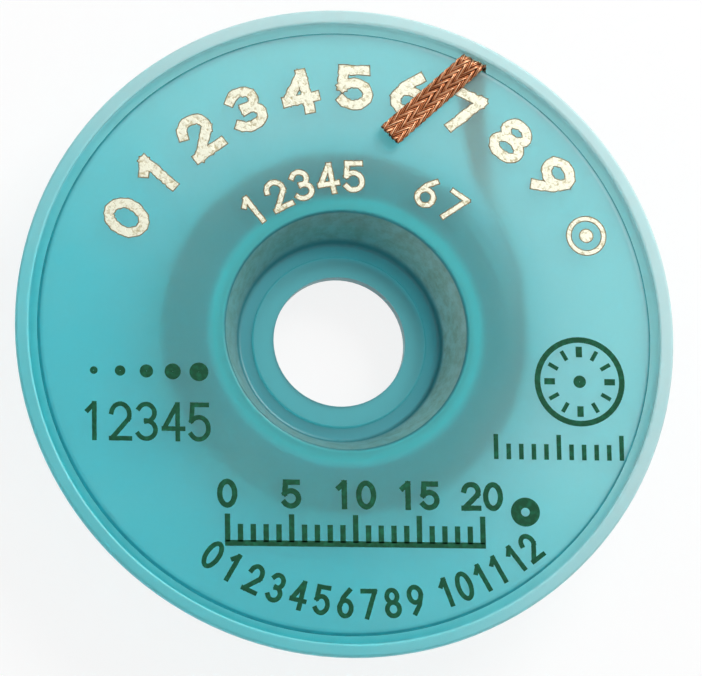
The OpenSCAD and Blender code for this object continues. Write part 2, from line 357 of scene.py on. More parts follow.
def translucent_moulded_plastic(s, shell):
    """Milky translucent styrene, injection moulded in a satin tool: a soft sheen on a body so rough to light
    that what lies close behind shows as a blurred shade, with faint flow clouds. Its tint is paler on the
    side towards the lamp at upper right, which is painted light."""
    front = shell == "front_shell"
    if front:
        pale, deep, clear, seed, dye_depth = s.front_pale, s.front_deep, s.front_clear, 0.0, 700.0
    else:
        pale, deep, clear, seed, dye_depth = s.rear_pale, s.rear_deep, s.rear_clear, 0.31, 350.0
    made, tree = material("moulded_styrene_" + shell)
    place = node(tree, "TexCoord").outputs["Object"]
    shift = node(tree, "Mapping", {"Vector": place, "Location": (seed, 0, 0)}).outputs[0]
    clouds = node(tree, "TexNoise", {
        "Vector": shift, "Scale": 1 / CLOUD, "Detail": 4, "Roughness": 0.55}).outputs["Fac"]
    satin = node(tree, "TexNoise", {"Vector": shift, "Scale": 1 / SATIN, "Detail": 3}).outputs["Fac"]
    rough = node(tree, "MapRange", {"Value": satin, "To Min": 0.74, "To Max": 0.86}).outputs[0]
    flat = node(tree, "VectorMath", {0: place, 1: (1, 1, 0)}, operation="MULTIPLY").outputs[0]
    out = node(tree, "VectorMath", {0: flat}, operation="LENGTH").outputs["Value"]
    # The pale side is painted light, towards the lamp: the cosine of the angle from 45 degrees, and only
    # outside the mouth.
    way = node(tree, "VectorMath", {0: flat}, operation="NORMALIZE").outputs[0]
    turn = node(tree, "VectorMath", {0: way, 1: (0.7071, 0.7071, 0)},
                operation="DOT_PRODUCT").outputs["Value"]
    side = node(tree, "MapRange", {"Value": turn, "From Min": -0.85, "From Max": 0.5},
                interpolation_type="SMOOTHSTEP").outputs[0]
    outer = node(tree, "MapRange", rising(out, PALE_SIDE), interpolation_type="SMOOTHSTEP").outputs[0]
    painted_light_share = node(tree, "Math", {0: side, 1: outer}, operation="MULTIPLY").outputs[0]
    cloudy = node(tree, "MapRange", {"Value": clouds, "From Min": 0.3, "From Max": 0.7,
                                     "To Min": -0.1, "To Max": 0.1}).outputs[0]
    painted_light_share = node(tree, "Math", {0: painted_light_share, 1: cloudy}, operation="ADD", use_clamp=True).outputs[0]
    tint = node(tree, "Mix", {0: painted_light_share, 6: deep, 7: pale}, data_type="RGBA").outputs[2]
    # The tool's texture is about 0.05 mm wide; it is drawn coarser so that it shows.
    grain = node(tree, "TexNoise", {"Vector": shift, "Scale": 1 / TOOL_GRAIN, "Detail": 2}).outputs["Fac"]
    bump = node(tree, "Bump", {"Height": grain, "Strength": 0.12, "Distance": 0.03 * MM}).outputs[0]
    if front:
        tint, rough, clear = recess_looks(tree, s, place, shift, way, out, tint, rough, clear)
    else:
        tint, bump, clear = rim_looks(tree, s, out, painted_light_share, tint, bump, clear)
    shader = node(tree, "BsdfPrincipled", {
        "Base Color": tint, "Roughness": rough, "Normal": bump, "IOR": 1.5,
        "Transmission Weight": clear, "Coat Weight": 0.5, "Coat Roughness": 0.25})
    # The dye takes red out over about a millimetre, so thick places and walls seen on edge look deeper.
    dye = node(tree, "VolumeAbsorption", {"Color": (0.05, 0.83, 0.87, 1.0), "Density": dye_depth})
    node(tree, "OutputMaterial", {"Surface": shader.outputs[0], "Volume": dye.outputs[0]})
    return made


def recess_looks(tree, s, place, shift, way, out, tint, rough, clear):
    """What the front shell has of its own. The recess's floor and mottled wall are duller and have tints of
    their own; the floor's darker tint is painted shade for the recess. Over the drum's wall there is plastic
    to look into and no copper. The lip's edge and the disc's edge are dark lines. The drum is thicker, so it
    lets less light pass. The recess's wall on the right lets the least through, which makes it lighter:
    painted light on that side."""
    height = node(tree, "SeparateXYZ", {0: place}).outputs["Z"]
    near = node(tree, "MapRange", falling(out, MOUTH_EDGE)).outputs[0]
    below = node(tree, "MapRange", falling(height, FACE_EDGE)).outputs[0]
    inside = node(tree, "Math", {0: near, 1: below}, operation="MULTIPLY").outputs[0]
    steep = node(tree, "MapRange", rising(height, WALL_FOOT)).outputs[0]
    mottle = node(tree, "TexNoise", {
        "Vector": shift, "Scale": 1 / MOTTLE, "Detail": 4, "Roughness": 0.7}).outputs["Fac"]
    wall = node(tree, "ValToRGB", {"Fac": mottle},
                stops=[(0.35, s.wall_dark), (0.62, s.wall)]).outputs["Color"]
    # Painted shade: below the wall's foot the recess's floor takes its darker tint.
    recess = node(tree, "Mix", {0: steep, 6: s.hub, 7: wall}, data_type="RGBA").outputs[2]
    drum = node(tree, "MapRange", falling(out, DRUM_WALL)).outputs[0]
    tint = node(tree, "Mix", {0: drum, 6: tint, 7: s.drum}, data_type="RGBA").outputs[2]
    tint = node(tree, "Mix", {0: inside, 6: tint, 7: recess}, data_type="RGBA").outputs[2]
    lip = node(tree, "MapRange", falling(out, LIP_EDGE)).outputs[0]
    high = node(tree, "MapRange", rising(height, LIP_FOOT)).outputs[0]
    lip = node(tree, "Math", {0: lip, 1: high}, operation="MULTIPLY").outputs[0]
    edge_of_disc = node(tree, "MapRange", rising(out, DISC_EDGE)).outputs[0]
    line = node(tree, "Math", {0: lip, 1: edge_of_disc}, operation="MAXIMUM").outputs[0]
    tint = node(tree, "Mix", {0: line, 6: tint, 7: s.line}, data_type="RGBA").outputs[2]
    rough = node(tree, "MapRange", {"Value": inside, "To Min": rough, "To Max": 0.62}).outputs[0]
    # Painted light: the recess's wall on the right lets less light through, so it looks lighter.
    across = node(tree, "SeparateXYZ", {0: way}).outputs["X"]
    right = node(tree, "MapRange", {"Value": across, "From Min": 0.3, "From Max": 1.0}).outputs[0]
    right = node(tree, "Math", {0: right, 1: steep}, operation="MULTIPLY").outputs[0]
    right = node(tree, "Math", {0: right, 1: inside}, operation="MULTIPLY").outputs[0]
    clear = node(tree, "MapRange", {"Value": drum, "To Min": clear, "To Max": 0.79}).outputs[0]
    clear = node(tree, "MapRange", {"Value": right, "To Min": clear, "To Max": 0.4}).outputs[0]
    return tint, rough, clear


def rim_looks(tree, s, out, painted_light_share, tint, bump, clear):
    """What the rear shell has of its own. Nearer the drum the dish is thicker, and its tint is deeper there,
    which is painted shade for the winding's shade seen through it. The rim is milkier than the dish, because
    it is thicker, and its edge falls away outwards by 0.3 mm. The rim's tint is paler on the lamp's side, and
    the groove inside the rim is tinted pale over its shade: both are painted light."""
    fall = node(tree, "MapRange", {**rising(out, RIM_FALL), "To Min": 0.0, "To Max": -0.3 * MM}).outputs[0]
    bump = node(tree, "Bump", {"Height": fall, "Strength": 1.0, "Distance": 1.0, "Normal": bump}).outputs[0]
    # Painted shade: the dish is tinted deeper round the winding, for the winding's shade.
    core = node(tree, "MapRange", rising(out, DISH_CORE)).outputs[0]
    tint = node(tree, "Mix", {0: core, 6: s.rear_core, 7: tint}, data_type="RGBA").outputs[2]
    # Painted light: the rim's tint is paler on the lamp's side.
    rim = node(tree, "Mix", {0: painted_light_share, 6: s.rim_deep, 7: s.rim_pale}, data_type="RGBA").outputs[2]
    # Painted light: the groove between the disc and the rim takes the rim's pale tint, over the shade that
    # falls in it.
    edge = node(tree, "MapRange", rising(out, GROOVE)).outputs[0]
    tint = node(tree, "Mix", {0: edge, 6: tint, 7: rim}, data_type="RGBA").outputs[2]
    bar = node(tree, "MapRange", rising(out, RIM_BAR)).outputs[0]
    clear = node(tree, "MapRange", {"Value": bar, "To Min": clear, "To Max": 0.5}).outputs[0]
    return tint, bump, clear


def drawn_copper_wire(s):
    """Bare drawn copper wire, woven: a painted highlight on the crests and painted shade in the gaps, with
    random patches of tarnish. The map's second number tells crests from gaps."""
    made, tree = material("drawn_copper_wire")
    place = node(tree, "TexCoord").outputs["Object"]
    flat = node(tree, "UVMap", uv_map="braid").outputs["UV"]
    crest = node(tree, "SeparateXYZ", {0: flat}).outputs["Y"]
    patches = node(tree, "TexNoise", {
        "Vector": place, "Scale": 1 / TARNISH, "Detail": 5, "Roughness": 0.6}).outputs["Fac"]
    worn = node(tree, "MapRange", {"Value": patches, "From Min": 0.3, "From Max": 0.7,
                                   "To Min": -0.22, "To Max": 0.22}).outputs[0]
    shade = node(tree, "Math", {0: crest, 1: worn}, operation="ADD").outputs[0]
    # Painted light: a highlight on the crests and shade in the gaps, shifted by random tarnish.
    tint = node(tree, "ValToRGB", {"Fac": shade},
                stops=[(0.25, s.dull), (0.6, s.body), (0.95, s.bright)]).outputs["Color"]
    rough = node(tree, "MapRange", {"Value": shade, "To Min": 0.55, "To Max": 0.3}).outputs[0]
    die_lines = node(tree, "TexNoise", {"Vector": place, "Scale": 1 / DIE_LINE, "Detail": 2}).outputs["Fac"]
    bump = node(tree, "Bump", {"Height": die_lines, "Strength": 0.2, "Distance": 0.01 * MM}).outputs[0]
    shader = node(tree, "BsdfPrincipled", {
        "Base Color": tint, "Roughness": rough, "Normal": bump, "Metallic": 0.8})
    node(tree, "OutputMaterial", {"Surface": shader.outputs[0]})
    return made


def wound_copper_braid(s):
    """Layers of the same braid pressed together: the strands are too many to model, so rows of slanting
    strands are drawn from the map, whose first axis is centimetres along and the second is once round."""
    made, tree = material("wound_copper_braid")
    flat = node(tree, "UVMap", uv_map="braid").outputs["UV"]
    rows = node(tree, "Mapping", {"Vector": flat, "Scale": (24, 8, 1)}).outputs[0]
    strands = node(tree, "TexWave", {"Vector": rows, "Scale": 0.32, "Distortion": 1.5, "Detail": 1},
                   wave_type="BANDS", bands_direction="DIAGONAL").outputs["Fac"]
    # Painted light: the dark bands between strands are painted shade and the light bands are painted
    # highlight.
    tint = node(tree, "ValToRGB", {"Fac": strands},
                stops=[(0.15, s.dull), (0.5, s.body), (0.85, s.bright)]).outputs["Color"]
    rough = node(tree, "MapRange", {"Value": strands, "To Min": 0.55, "To Max": 0.32}).outputs[0]
    bump = node(tree, "Bump", {"Height": strands, "Strength": 0.6, "Distance": 0.06 * MM}).outputs[0]
    shader = node(tree, "BsdfPrincipled", {
        "Base Color": tint, "Roughness": rough, "Normal": bump, "Metallic": 0.85})
    node(tree, "OutputMaterial", {"Surface": shader.outputs[0]})
    return made


def hot_stamped_foil(s):
    """Gold foil pressed on with a hot die: pale and bright, crinkled, with tan cracks and worn specks."""
    made, tree = material("hot_stamped_foil")
    place = node(tree, "TexCoord").outputs["Object"]
    crinkle = node(tree, "TexNoise", {"Vector": place, "Scale": 1 / CRINKLE, "Detail": 4, "Roughness": 0.7,
                                      "Distortion": 0.6}).outputs["Fac"]
    shade = node(tree, "ValToRGB", {"Fac": crinkle},
                 stops=[(0.36, s.foil_worn), (0.5, s.foil)]).outputs["Color"]
    rough = node(tree, "MapRange", {"Value": crinkle, "To Min": 0.28, "To Max": 0.46}).outputs[0]
    bump = node(tree, "Bump", {"Height": crinkle, "Strength": 0.7, "Distance": 0.05 * MM}).outputs[0]
    shader = node(tree, "BsdfPrincipled", {
        "Base Color": shade, "Roughness": rough, "Normal": bump, "Metallic": 0.3})
    node(tree, "OutputMaterial", {"Surface": shader.outputs[0]})
    return made


def burnt_foil_edge(s):
    """The rim of foil and scorched plastic that the hot die leaves round each mark: brown and dull."""
    made, tree = material("burnt_foil_edge")
    place = node(tree, "TexCoord").outputs["Object"]
    scorch = node(tree, "TexNoise", {"Vector": place, "Scale": 1 / SCORCH, "Detail": 3}).outputs["Fac"]
    dark = (*(0.6 * c for c in s.foil_edge[:3]), 1.0)
    shade = node(tree, "ValToRGB", {"Fac": scorch}, stops=[(0.4, dark), (0.6, s.foil_edge)]).outputs["Color"]
    rough = node(tree, "MapRange", {"Value": scorch, "To Min": 0.45, "To Max": 0.65}).outputs[0]
    bump = node(tree, "Bump", {"Height": scorch, "Strength": 0.3, "Distance": 0.02 * MM}).outputs[0]
    shader = node(tree, "BsdfPrincipled", {"Base Color": shade, "Roughness": rough, "Normal": bump})
    node(tree, "OutputMaterial", {"Surface": shader.outputs[0]})
    return made


def pad_printed_ink(s):
    """Opaque ink from a printing pad: flat, a little uneven in depth, with a soft sheen."""
    made, tree = material("pad_printed_ink")
    place = node(tree, "TexCoord").outputs["Object"]
    depth = node(tree, "TexNoise", {"Vector": place, "Scale": 1 / INK_DEPTH, "Detail": 3}).outputs["Fac"]
    tint = node(tree, "ValToRGB", {"Fac": depth}, stops=[(0.45, s.ink), (0.75, s.ink_thin)]).outputs["Color"]
    rough = node(tree, "MapRange", {"Value": depth, "To Min": 0.5, "To Max": 0.65}).outputs[0]
    bump = node(tree, "Bump", {"Height": depth, "Strength": 0.2, "Distance": 0.01 * MM}).outputs[0]
    shader = node(tree, "BsdfPrincipled", {"Base Color": tint, "Roughness": rough, "Normal": bump,
                                           "Specular IOR Level": 0.2})
    node(tree, "OutputMaterial", {"Surface": shader.outputs[0]})
    return made


def made_once(make, s):
    """A material that pieces share is made by the first of them. It is named as its function is."""
    return bpy.data.materials.get(make.__name__) or make(s)


# ---------------- marks

# Numerals as engravers draw them: strokes of one width on a cell 1 wide and 1 tall. Each stroke is a row of
# points (x, y), or an arc (centre x, centre y, radius x, radius y, from degrees, to degrees).
STROKES = {
    "0": [("arc", 0.31, 0.5, 0.31, 0.5, 0, 360)],
    "1": [((0.32, 0.0), (0.32, 1.0)), ((0.1, 0.8), (0.3, 0.98))],
    "2": [("arc", 0.31, 0.7, 0.3, 0.3, 170, -28), ((0.575, 0.56), (0.04, 0.02)), ((0.0, 0.0), (0.62, 0.0))],
    "3": [("arc", 0.29, 0.75, 0.28, 0.25, 150, -90), ("arc", 0.29, 0.26, 0.31, 0.26, 90, -150)],
    "4": [((0.46, 0.0), (0.46, 1.0)), ((0.42, 0.96), (0.03, 0.34)), ((0.0, 0.3), (0.64, 0.3))],
    "5": [((0.08, 1.0), (0.56, 1.0)), ((0.08, 0.98), (0.04, 0.54)),
          ("arc", 0.29, 0.32, 0.32, 0.32, 140, -145)],
    "6": [("arc", 0.31, 0.3, 0.3, 0.3, 0, 360), ((0.03, 0.38), (0.18, 0.72), (0.46, 1.0))],
    "7": [((0.0, 1.0), (0.6, 1.0)), ((0.6, 0.98), (0.2, 0.0))],
    "8": [("arc", 0.31, 0.26, 0.31, 0.26, 0, 360), ("arc", 0.31, 0.76, 0.26, 0.24, 0, 360)],
    "9": [("arc", 0.31, 0.7, 0.3, 0.3, 0, 360), ((0.59, 0.62), (0.44, 0.28), (0.16, 0.0))],
}


def stroke_line(stroke, step=0.07):
    """The points of one stroke about `step` apart, with its corners among them, and whether it closes."""
    if stroke[0] != "arc":
        corners = np.array(stroke, float)
        gaps = np.linalg.norm(np.diff(corners, axis=0), axis=1)
        run = np.concatenate([[0], np.cumsum(gaps)])
        marks = np.unique(np.concatenate([np.linspace(a, b, max(2, int((b - a) / step) + 1))
                                          for a, b in zip(run[:-1], run[1:])]))
        return np.stack([np.interp(marks, run, corners[:, k]) for k in (0, 1)], axis=1), False
    _, x, y, rx, ry, first, last = stroke
    closed = abs(last - first) == 360
    steps = max(6, int(math.radians(abs(last - first)) * (rx + ry) / 2 / step))
    t = np.radians(np.linspace(first, last, steps + 1))
    line = np.column_stack([x + rx * np.cos(t), y + ry * np.sin(t)])
    return (line[:-1], True) if closed else (line, False)


def plate_between(rails, closed):
    """A plate from four rails, each a row of points and its height. Each rail is joined to the next, and the
    last to the first."""
    v = np.concatenate([np.column_stack([line, np.full(len(line), z)]) for line, z in rails])
    n = len(v) // 4
    i = np.arange(n if closed else n - 1)
    j = (i + 1) % n
    return v, np.concatenate([np.stack([a * n + j, b * n + j, b * n + i, a * n + i], axis=1)
                              for a, b in ((0, 1), (1, 2), (2, 3), (3, 0))]).tolist()


def ribbon_plate(line, closed, width, ragged, rng, level):
    """A stroke as a closed plate: the line is moved half a width to each side along the mean normal of its
    two neighbouring pieces, and the two edges wander a little, as stamped foil and ink do. The level keeps
    strokes that cross from lying in one plane."""
    piece = np.roll(line, -1, axis=0) - line if closed else np.diff(line, axis=0)
    piece /= np.linalg.norm(piece, axis=1)[:, None]
    before = np.roll(piece, 1, axis=0) if closed else np.vstack([piece[:1], piece])
    after = piece if closed else np.vstack([piece, piece[-1:]])
    normal = (before + after) / 2
    normal /= (normal**2).sum(1)[:, None]
    normal = np.clip(np.column_stack([-normal[:, 1], normal[:, 0]]), -1.6, 1.6)
    if not closed:
        # Square ends, which reach half a width past the last point.
        line = line.copy()
        line[0] -= piece[0] * width / 2
        line[-1] += piece[-1] * width / 2
    n = len(line)
    half = width / 2 * (1 + ragged * rng.uniform(-1, 1, (2, n)))
    left, right = line + normal * half[0][:, None], line - normal * half[1][:, None]
    top = 0.5 + 0.1 * level
    v, faces = plate_between(((left, -0.5), (right, -0.5), (right, top), (left, top)), closed)
    if not closed:
        faces += [[0, n, 2 * n, 3 * n], [4 * n - 1, 3 * n - 1, 2 * n - 1, n - 1]]
    return v, faces


def numeral(text, height, width, ragged=0.0, seed=0, narrow=1.0):
    """A row of stroke numerals, centred, `height` tall over all. A cell is 0.62 wide, and the next one is
    0.92 further on."""
    rng = np.random.default_rng(seed)
    tall = height - width
    step, cell = 0.92 * narrow, 0.62 * narrow
    plates = []
    for k, sign in enumerate(text):
        for level, stroke in enumerate(STROKES[sign]):
            line, closed = stroke_line(stroke)
            line = (line * [narrow, 1] + [step * k - (step * (len(text) - 1) + cell) / 2, -0.5]) * tall
            plates.append(ribbon_plate(line, closed, width, ragged, rng, level))
    return join(plates)


def join(plates):
    """Several plates as one."""
    starts = np.cumsum([0] + [len(v) for v, _ in plates])
    return (np.concatenate([v for v, _ in plates]),
            [tuple(i + start for i in f) for (_, faces), start in zip(plates, starts) for f in faces])


def bar_plate(width, height):
    """A rectangle as a closed plate, with its thickness from -0.5 to 0.5."""
    w, h = width / 2, height / 2
    v = np.array([[x, y, z] for z in (-0.5, 0.5) for x, y in ((-w, -h), (w, -h), (w, h), (-w, h))])
    return v, [(3, 2, 1, 0), (4, 5, 6, 7), (0, 1, 5, 4), (1, 2, 6, 5), (2, 3, 7, 6), (3, 0, 4, 7)]


def ring_plate(outer, inner=0.0, grow=0.0, around=48):
    """A flat ring as a closed plate between four circles. A dot is a ring whose hole is too small to see."""
    pinhole = 0.02 * MM
    t = np.arange(around) / around * 2 * math.pi
    outer, inner = outer + grow, max(inner - grow, pinhole)
    circle = np.stack([np.cos(t), np.sin(t)], axis=1)
    edges = ((inner, -0.5), (outer, -0.5), (outer, 0.5), (inner, 0.5))
    return plate_between([(circle * r, z) for r, z in edges], True)


def on_arc(plate, centre, radius, azimuth, foot_out=False):
    """Turns a plate so that it stands on a circle at an azimuth, head out, or head in with foot_out."""
    v, faces = plate
    turn = math.radians(azimuth - 90 + (180 if foot_out else 0))
    c, s = math.cos(turn), math.sin(turn)
    a = math.radians(azimuth)
    x = v[:, 0] * c - v[:, 1] * s + centre[0] + radius * math.cos(a)
    y = v[:, 0] * s + v[:, 1] * c + centre[1] + radius * math.sin(a)
    return np.column_stack([x, y, v[:, 2]]), faces


def at(plate, x, y):
    """Moves a plate on the face."""
    v, faces = plate
    return v + [x, y, 0], faces


def stamp(name, plates, top, made):
    """Joins plates into one piece that lies on the front face, sunk a little into it."""
    sunk = 0.02 * MM
    points, faces = join(plates)
    points[:, 2] = np.where(points[:, 2] > 0, FACE_Z + top * (points[:, 2] + 0.5), FACE_Z - sunk)
    return add_piece(name, points, faces, made, FRONT, smooth=False)


# ---------------- operators

class BOBBIN_OT_stage(bpy.types.Operator):
    """Make the floor, the soft light and the camera"""
    bl_idname = "bobbin.stage"
    bl_label = "Stage"

    def execute(self, context):
        scene = context.scene
        scene.view_settings.view_transform = "Standard"
        self.floor()
        self.light(scene)
        self.camera(scene)
        return {"FINISHED"}

    def floor(self):
        """A flat square, white to the eye and plain and pale to the light, so the shadow stays."""
        made, tree = material("pale_floor")
        path = node(tree, "LightPath")
        seen = node(tree, "Math", {0: path.outputs["Is Camera Ray"], 1: path.outputs["Is Glossy Ray"]},
                    operation="MAXIMUM").outputs[0]
        # How much of the floor is plain white, seen directly and through the plastic.
        white_seen, white_through = 0.85, 0.7
        seen = node(tree, "Math", {0: seen, 1: white_seen}, operation="MULTIPLY").outputs[0]
        lit = node(tree, "Math", {0: path.outputs["Is Transmission Ray"], 1: white_through, 2: seen},
                   operation="MULTIPLY_ADD").outputs[0]
        place = node(tree, "TexCoord").outputs["Object"]
        grain = node(tree, "TexNoise", {"Vector": place, "Scale": 300}).outputs["Fac"]
        tint = node(tree, "ValToRGB", {"Fac": grain},
                    stops=[(0.4, linear("#F4F4F4")), (0.6, linear("#F6F6F6"))]).outputs["Color"]
        paint = node(tree, "BsdfDiffuse", {"Color": tint}).outputs[0]
        white = node(tree, "Emission", {"Color": (1, 1, 1, 1), "Strength": 1.0}).outputs[0]
        both = node(tree, "MixShader", {0: lit, 1: paint, 2: white}).outputs[0]
        node(tree, "OutputMaterial", {"Surface": both})
        half, low = 1.5, -0.02 * MM
        mesh = bpy.data.meshes.new("floor")
        corners = [(-half, -half, low), (half, -half, low), (half, half, low), (-half, half, low)]
        mesh.from_pydata(corners, [], [(0, 1, 2, 3)])
        mesh.materials.append(made)
        floor = bpy.data.objects.new("floor", mesh)
        bpy.context.scene.collection.objects.link(floor)

    def light(self, scene):
        """A soft white room, brighter to the eye than to the bobbin, and a broad lamp at upper right."""
        world = bpy.data.worlds.new("soft_room")
        world.use_nodes = True
        tree = world.node_tree
        tree.nodes.clear()
        path = node(tree, "LightPath")
        seen = node(tree, "Math", {0: path.outputs["Is Camera Ray"], 1: path.outputs["Is Transmission Ray"]},
                    operation="MAXIMUM").outputs[0]
        level = node(tree, "MapRange", {"Value": seen, "To Min": 0.5, "To Max": 1.0}).outputs[0]
        back = node(tree, "Background", {"Color": (1, 1, 1, 1), "Strength": level}).outputs[0]
        node(tree, "OutputWorld", {"Surface": back})
        scene.world = world
        lamp = bpy.data.lights.new("key_lamp", "AREA")
        lamp.shape, lamp.size, lamp.energy = "DISK", 0.24, 1.25
        holder = bpy.data.objects.new("key_lamp", lamp)
        holder.location = (0.2, 0.22, 0.26)
        holder.rotation_mode = "QUATERNION"
        holder.rotation_quaternion = holder.location.to_track_quat("Z", "Y")
        scene.collection.objects.link(holder)

    def camera(self, scene):
        """A long lens, 16 degrees off the bobbin's axis, with the front face's top up in the picture.

        The middle of the face lies `far` metres down the lens and at `middle` in a picture of `picture`
        pixels. The bobbin is turned by `tilt` about `about`, so the camera takes the opposite turn."""
        tilt, about = math.radians(15.9), math.radians(-147.8)
        lens_px, far, sensor = 5000.0, 0.391, 36.0
        picture, middle = np.array([702, 676]), np.array([347.1, 329.4])
        turn = np.array(Matrix.Rotation(tilt, 3, Vector((math.cos(about), math.sin(about), 0))))
        flip = np.diag([1.0, -1.0, -1.0])
        off = np.append((middle - picture / 2) * far / lens_px, far)
        place = np.eye(4)
        place[:3, :3] = (flip @ turn @ flip).T
        place[:3, 3] = np.array([0, 0, 8 * MM]) - flip @ turn.T @ off
        lens = bpy.data.cameras.new("camera")
        lens.sensor_width, lens.lens = sensor, lens_px / picture[0] * sensor
        lens.clip_start, lens.clip_end = 0.01, 10.0
        eye = bpy.data.objects.new("camera", lens)
        eye.matrix_world = Matrix(place)
        scene.collection.objects.link(eye)
        scene.camera = eye


class BOBBIN_OT_free_end(bpy.types.Operator):
    """Weave the free end of the braid, from the winding over the rim"""
    bl_idname = "bobbin.free_end"
    bl_label = "Free end"

    def execute(self, context):
        s = context.scene.bobbin.braid
        route = TAIL * [MM, MM, MM, 1, 1, 1]
        copper = made_once(drawn_copper_wire, s)
        # Ten bundles each way of three wires, which lie a little flattened.
        points, faces, uv = woven(route, s, carriers=10, wires=3, sides=6, samples=200, across=1.08 * s.wire,
                                  through=s.wire, seed=3)
        piece = add_piece("free_end", points, faces, copper, REAR, uv=uv)
        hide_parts("braid_tail")
        centre = curve_through(route, 60)[0]
        return {"FINISHED"}


# The winding, as in the model: the drum's radius, the middle of the outer layer and its first face, the
# heights of its two laps, and the angles in degrees where it starts, crosses over and ends.
DRUM_R, TURN_R, START_R, LAP_LOW, LAP_HIGH = 10.914 * MM, 14.489 * MM, 14.63 * MM, 2.6925 * MM, 5.7 * MM
LAP_START, CROSS_AT, CROSS_SPAN, WINDING_END = 79.0, 379.0, 45.0, 724.0


def upright(centre):
    """A route whose strip has its width along the bobbin's axis."""
    return np.column_stack([centre, np.tile([0, 0, 1.0], (len(centre), 1))])


def eased(x):
    """From 0 to 1 with level ends: three squares less two cubes."""
    x = np.clip(x, 0, 1)
    return x * x * (3 - 2 * x)


class BOBBIN_OT_outer_turns(bpy.types.Operator):
    """Weave the outer layer of the winding, two laps side by side"""
    bl_idname = "bobbin.outer_turns"
    bl_label = "Outer turns"

    def execute(self, context):
        """Round the winding at one radius. The height goes from the lower to the upper lap over the crossing,
        and each end runs straight for one width."""
        s = context.scene.bobbin.braid
        angle = np.linspace(LAP_START, WINDING_END, 130)
        a = np.radians(angle)
        z = LAP_LOW + (LAP_HIGH - LAP_LOW) * eased((angle - CROSS_AT) / CROSS_SPAN)
        lap = np.column_stack([TURN_R * np.cos(a), TURN_R * np.sin(a), z])
        ends = [lap[k] + side * s.width * np.array([-math.sin(a[k]), math.cos(a[k]), 0])
                for k, side in ((0, -1), (-1, 1))]
        route = upright(np.vstack([ends[0], lap, ends[1]]))
        copper = made_once(drawn_copper_wire, s)
        # Eight bundles each way, each drawn as one flat strand, because the plastic blurs the wires.
        points, faces, uv = woven(route, s, carriers=8, wires=1, sides=6, samples=1030, across=4.4 * s.wire,
                                  through=s.wire, seed=5)
        piece = add_piece("outer_turns", points, faces, copper, REAR, uv=uv)
        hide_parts("braid_turns")
        return {"FINISHED"}


class BOBBIN_OT_inner_layers(bpy.types.Operator):
    """Wind the inner layers, up and down the drum"""
    bl_idname = "bobbin.inner_layers"
    bl_label = "Inner layers"

    def execute(self, context):
        """One flat strip. Its angle grows steadily, its height goes up and down between the two ends of the
        drum, and its radius grows by one thickness each time the height turns round."""
        s = context.scene.bobbin.braid
        layers, turns, low, high = 7, 2, 1.86 * MM, LAP_HIGH
        # Shares of a turn: the hop out to the next layer, the stay at each end, the climb to the outer layer,
        # and where and how long the strip comes down to that layer's height.
        hop, stay, climb, settle, settle_for = 0.12, 0.06, 0.045, 0.5, 0.45
        # Air under the outer layer and under the first, and the angle left for the splice.
        air_out, air_in, splice = 0.03 * MM, 0.02 * MM, 0.1405
        lap = np.linspace(0, layers * turns, 1400)
        step = (TURN_R - s.thickness - DRUM_R - s.thickness / 2 - air_out) / (layers - 1)
        layer = np.floor(lap / turns) + eased((lap / turns % 1 - (1 - hop)) / hop)
        r = DRUM_R + s.thickness / 2 + air_in + step * np.minimum(layer, layers - 1)
        saw = np.abs((lap / turns + 1) % 2 - 1)
        z = low + (high - low) * np.clip((1 + 2 * stay) * saw - stay, 0, 1)
        end = math.radians(LAP_START) - splice - 2 * math.pi * (layers * turns - lap)
        r += eased((lap - lap[-1] + climb) / climb) * (START_R - r)
        z += eased((lap - lap[-1] + settle) / settle_for) * (LAP_LOW - z)
        route = upright(np.column_stack([r * np.cos(end), r * np.sin(end), z]))
        rows, around = 1500, 12
        mid, _, wide, thick, run = curve_through(route, rows)
        u = np.arange(around) / around
        a, b, _, _, _ = flat_loop(u, s.width - 0.02 * MM, 0.97 * s.thickness)
        rings = mid[:, None] + a[:, None] * wide[:, None] + b[:, None] * thick[:, None]
        uv = np.stack(np.broadcast_arrays(run[:, None] / UV_LENGTH, u), axis=-1)
        braid = made_once(wound_copper_braid, s)
        piece = add_piece("inner_layers", rings.reshape(-1, 3), grid_faces(rows, around), braid, REAR,
                          uv=uv.reshape(-1, 2))
        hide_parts("braid_core")
        return {"FINISHED"}


class BOBBIN_OT_plastic(bpy.types.Operator):
    """Give both moulded shells their translucent plastic"""
    bl_idname = "bobbin.plastic"
    bl_label = "Shells"

    def execute(self, context):
        s = context.scene.bobbin.plastic
        for name in ("front_shell", "rear_shell"):
            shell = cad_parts[name]
            made = translucent_moulded_plastic(s, name)
            shell.data.materials.clear()
            shell.data.materials.append(made)
        return {"FINISHED"}


# The printing is a little off the axis: the middle of its arcs.
PRINT = (1.1 * MM, -1.1 * MM)


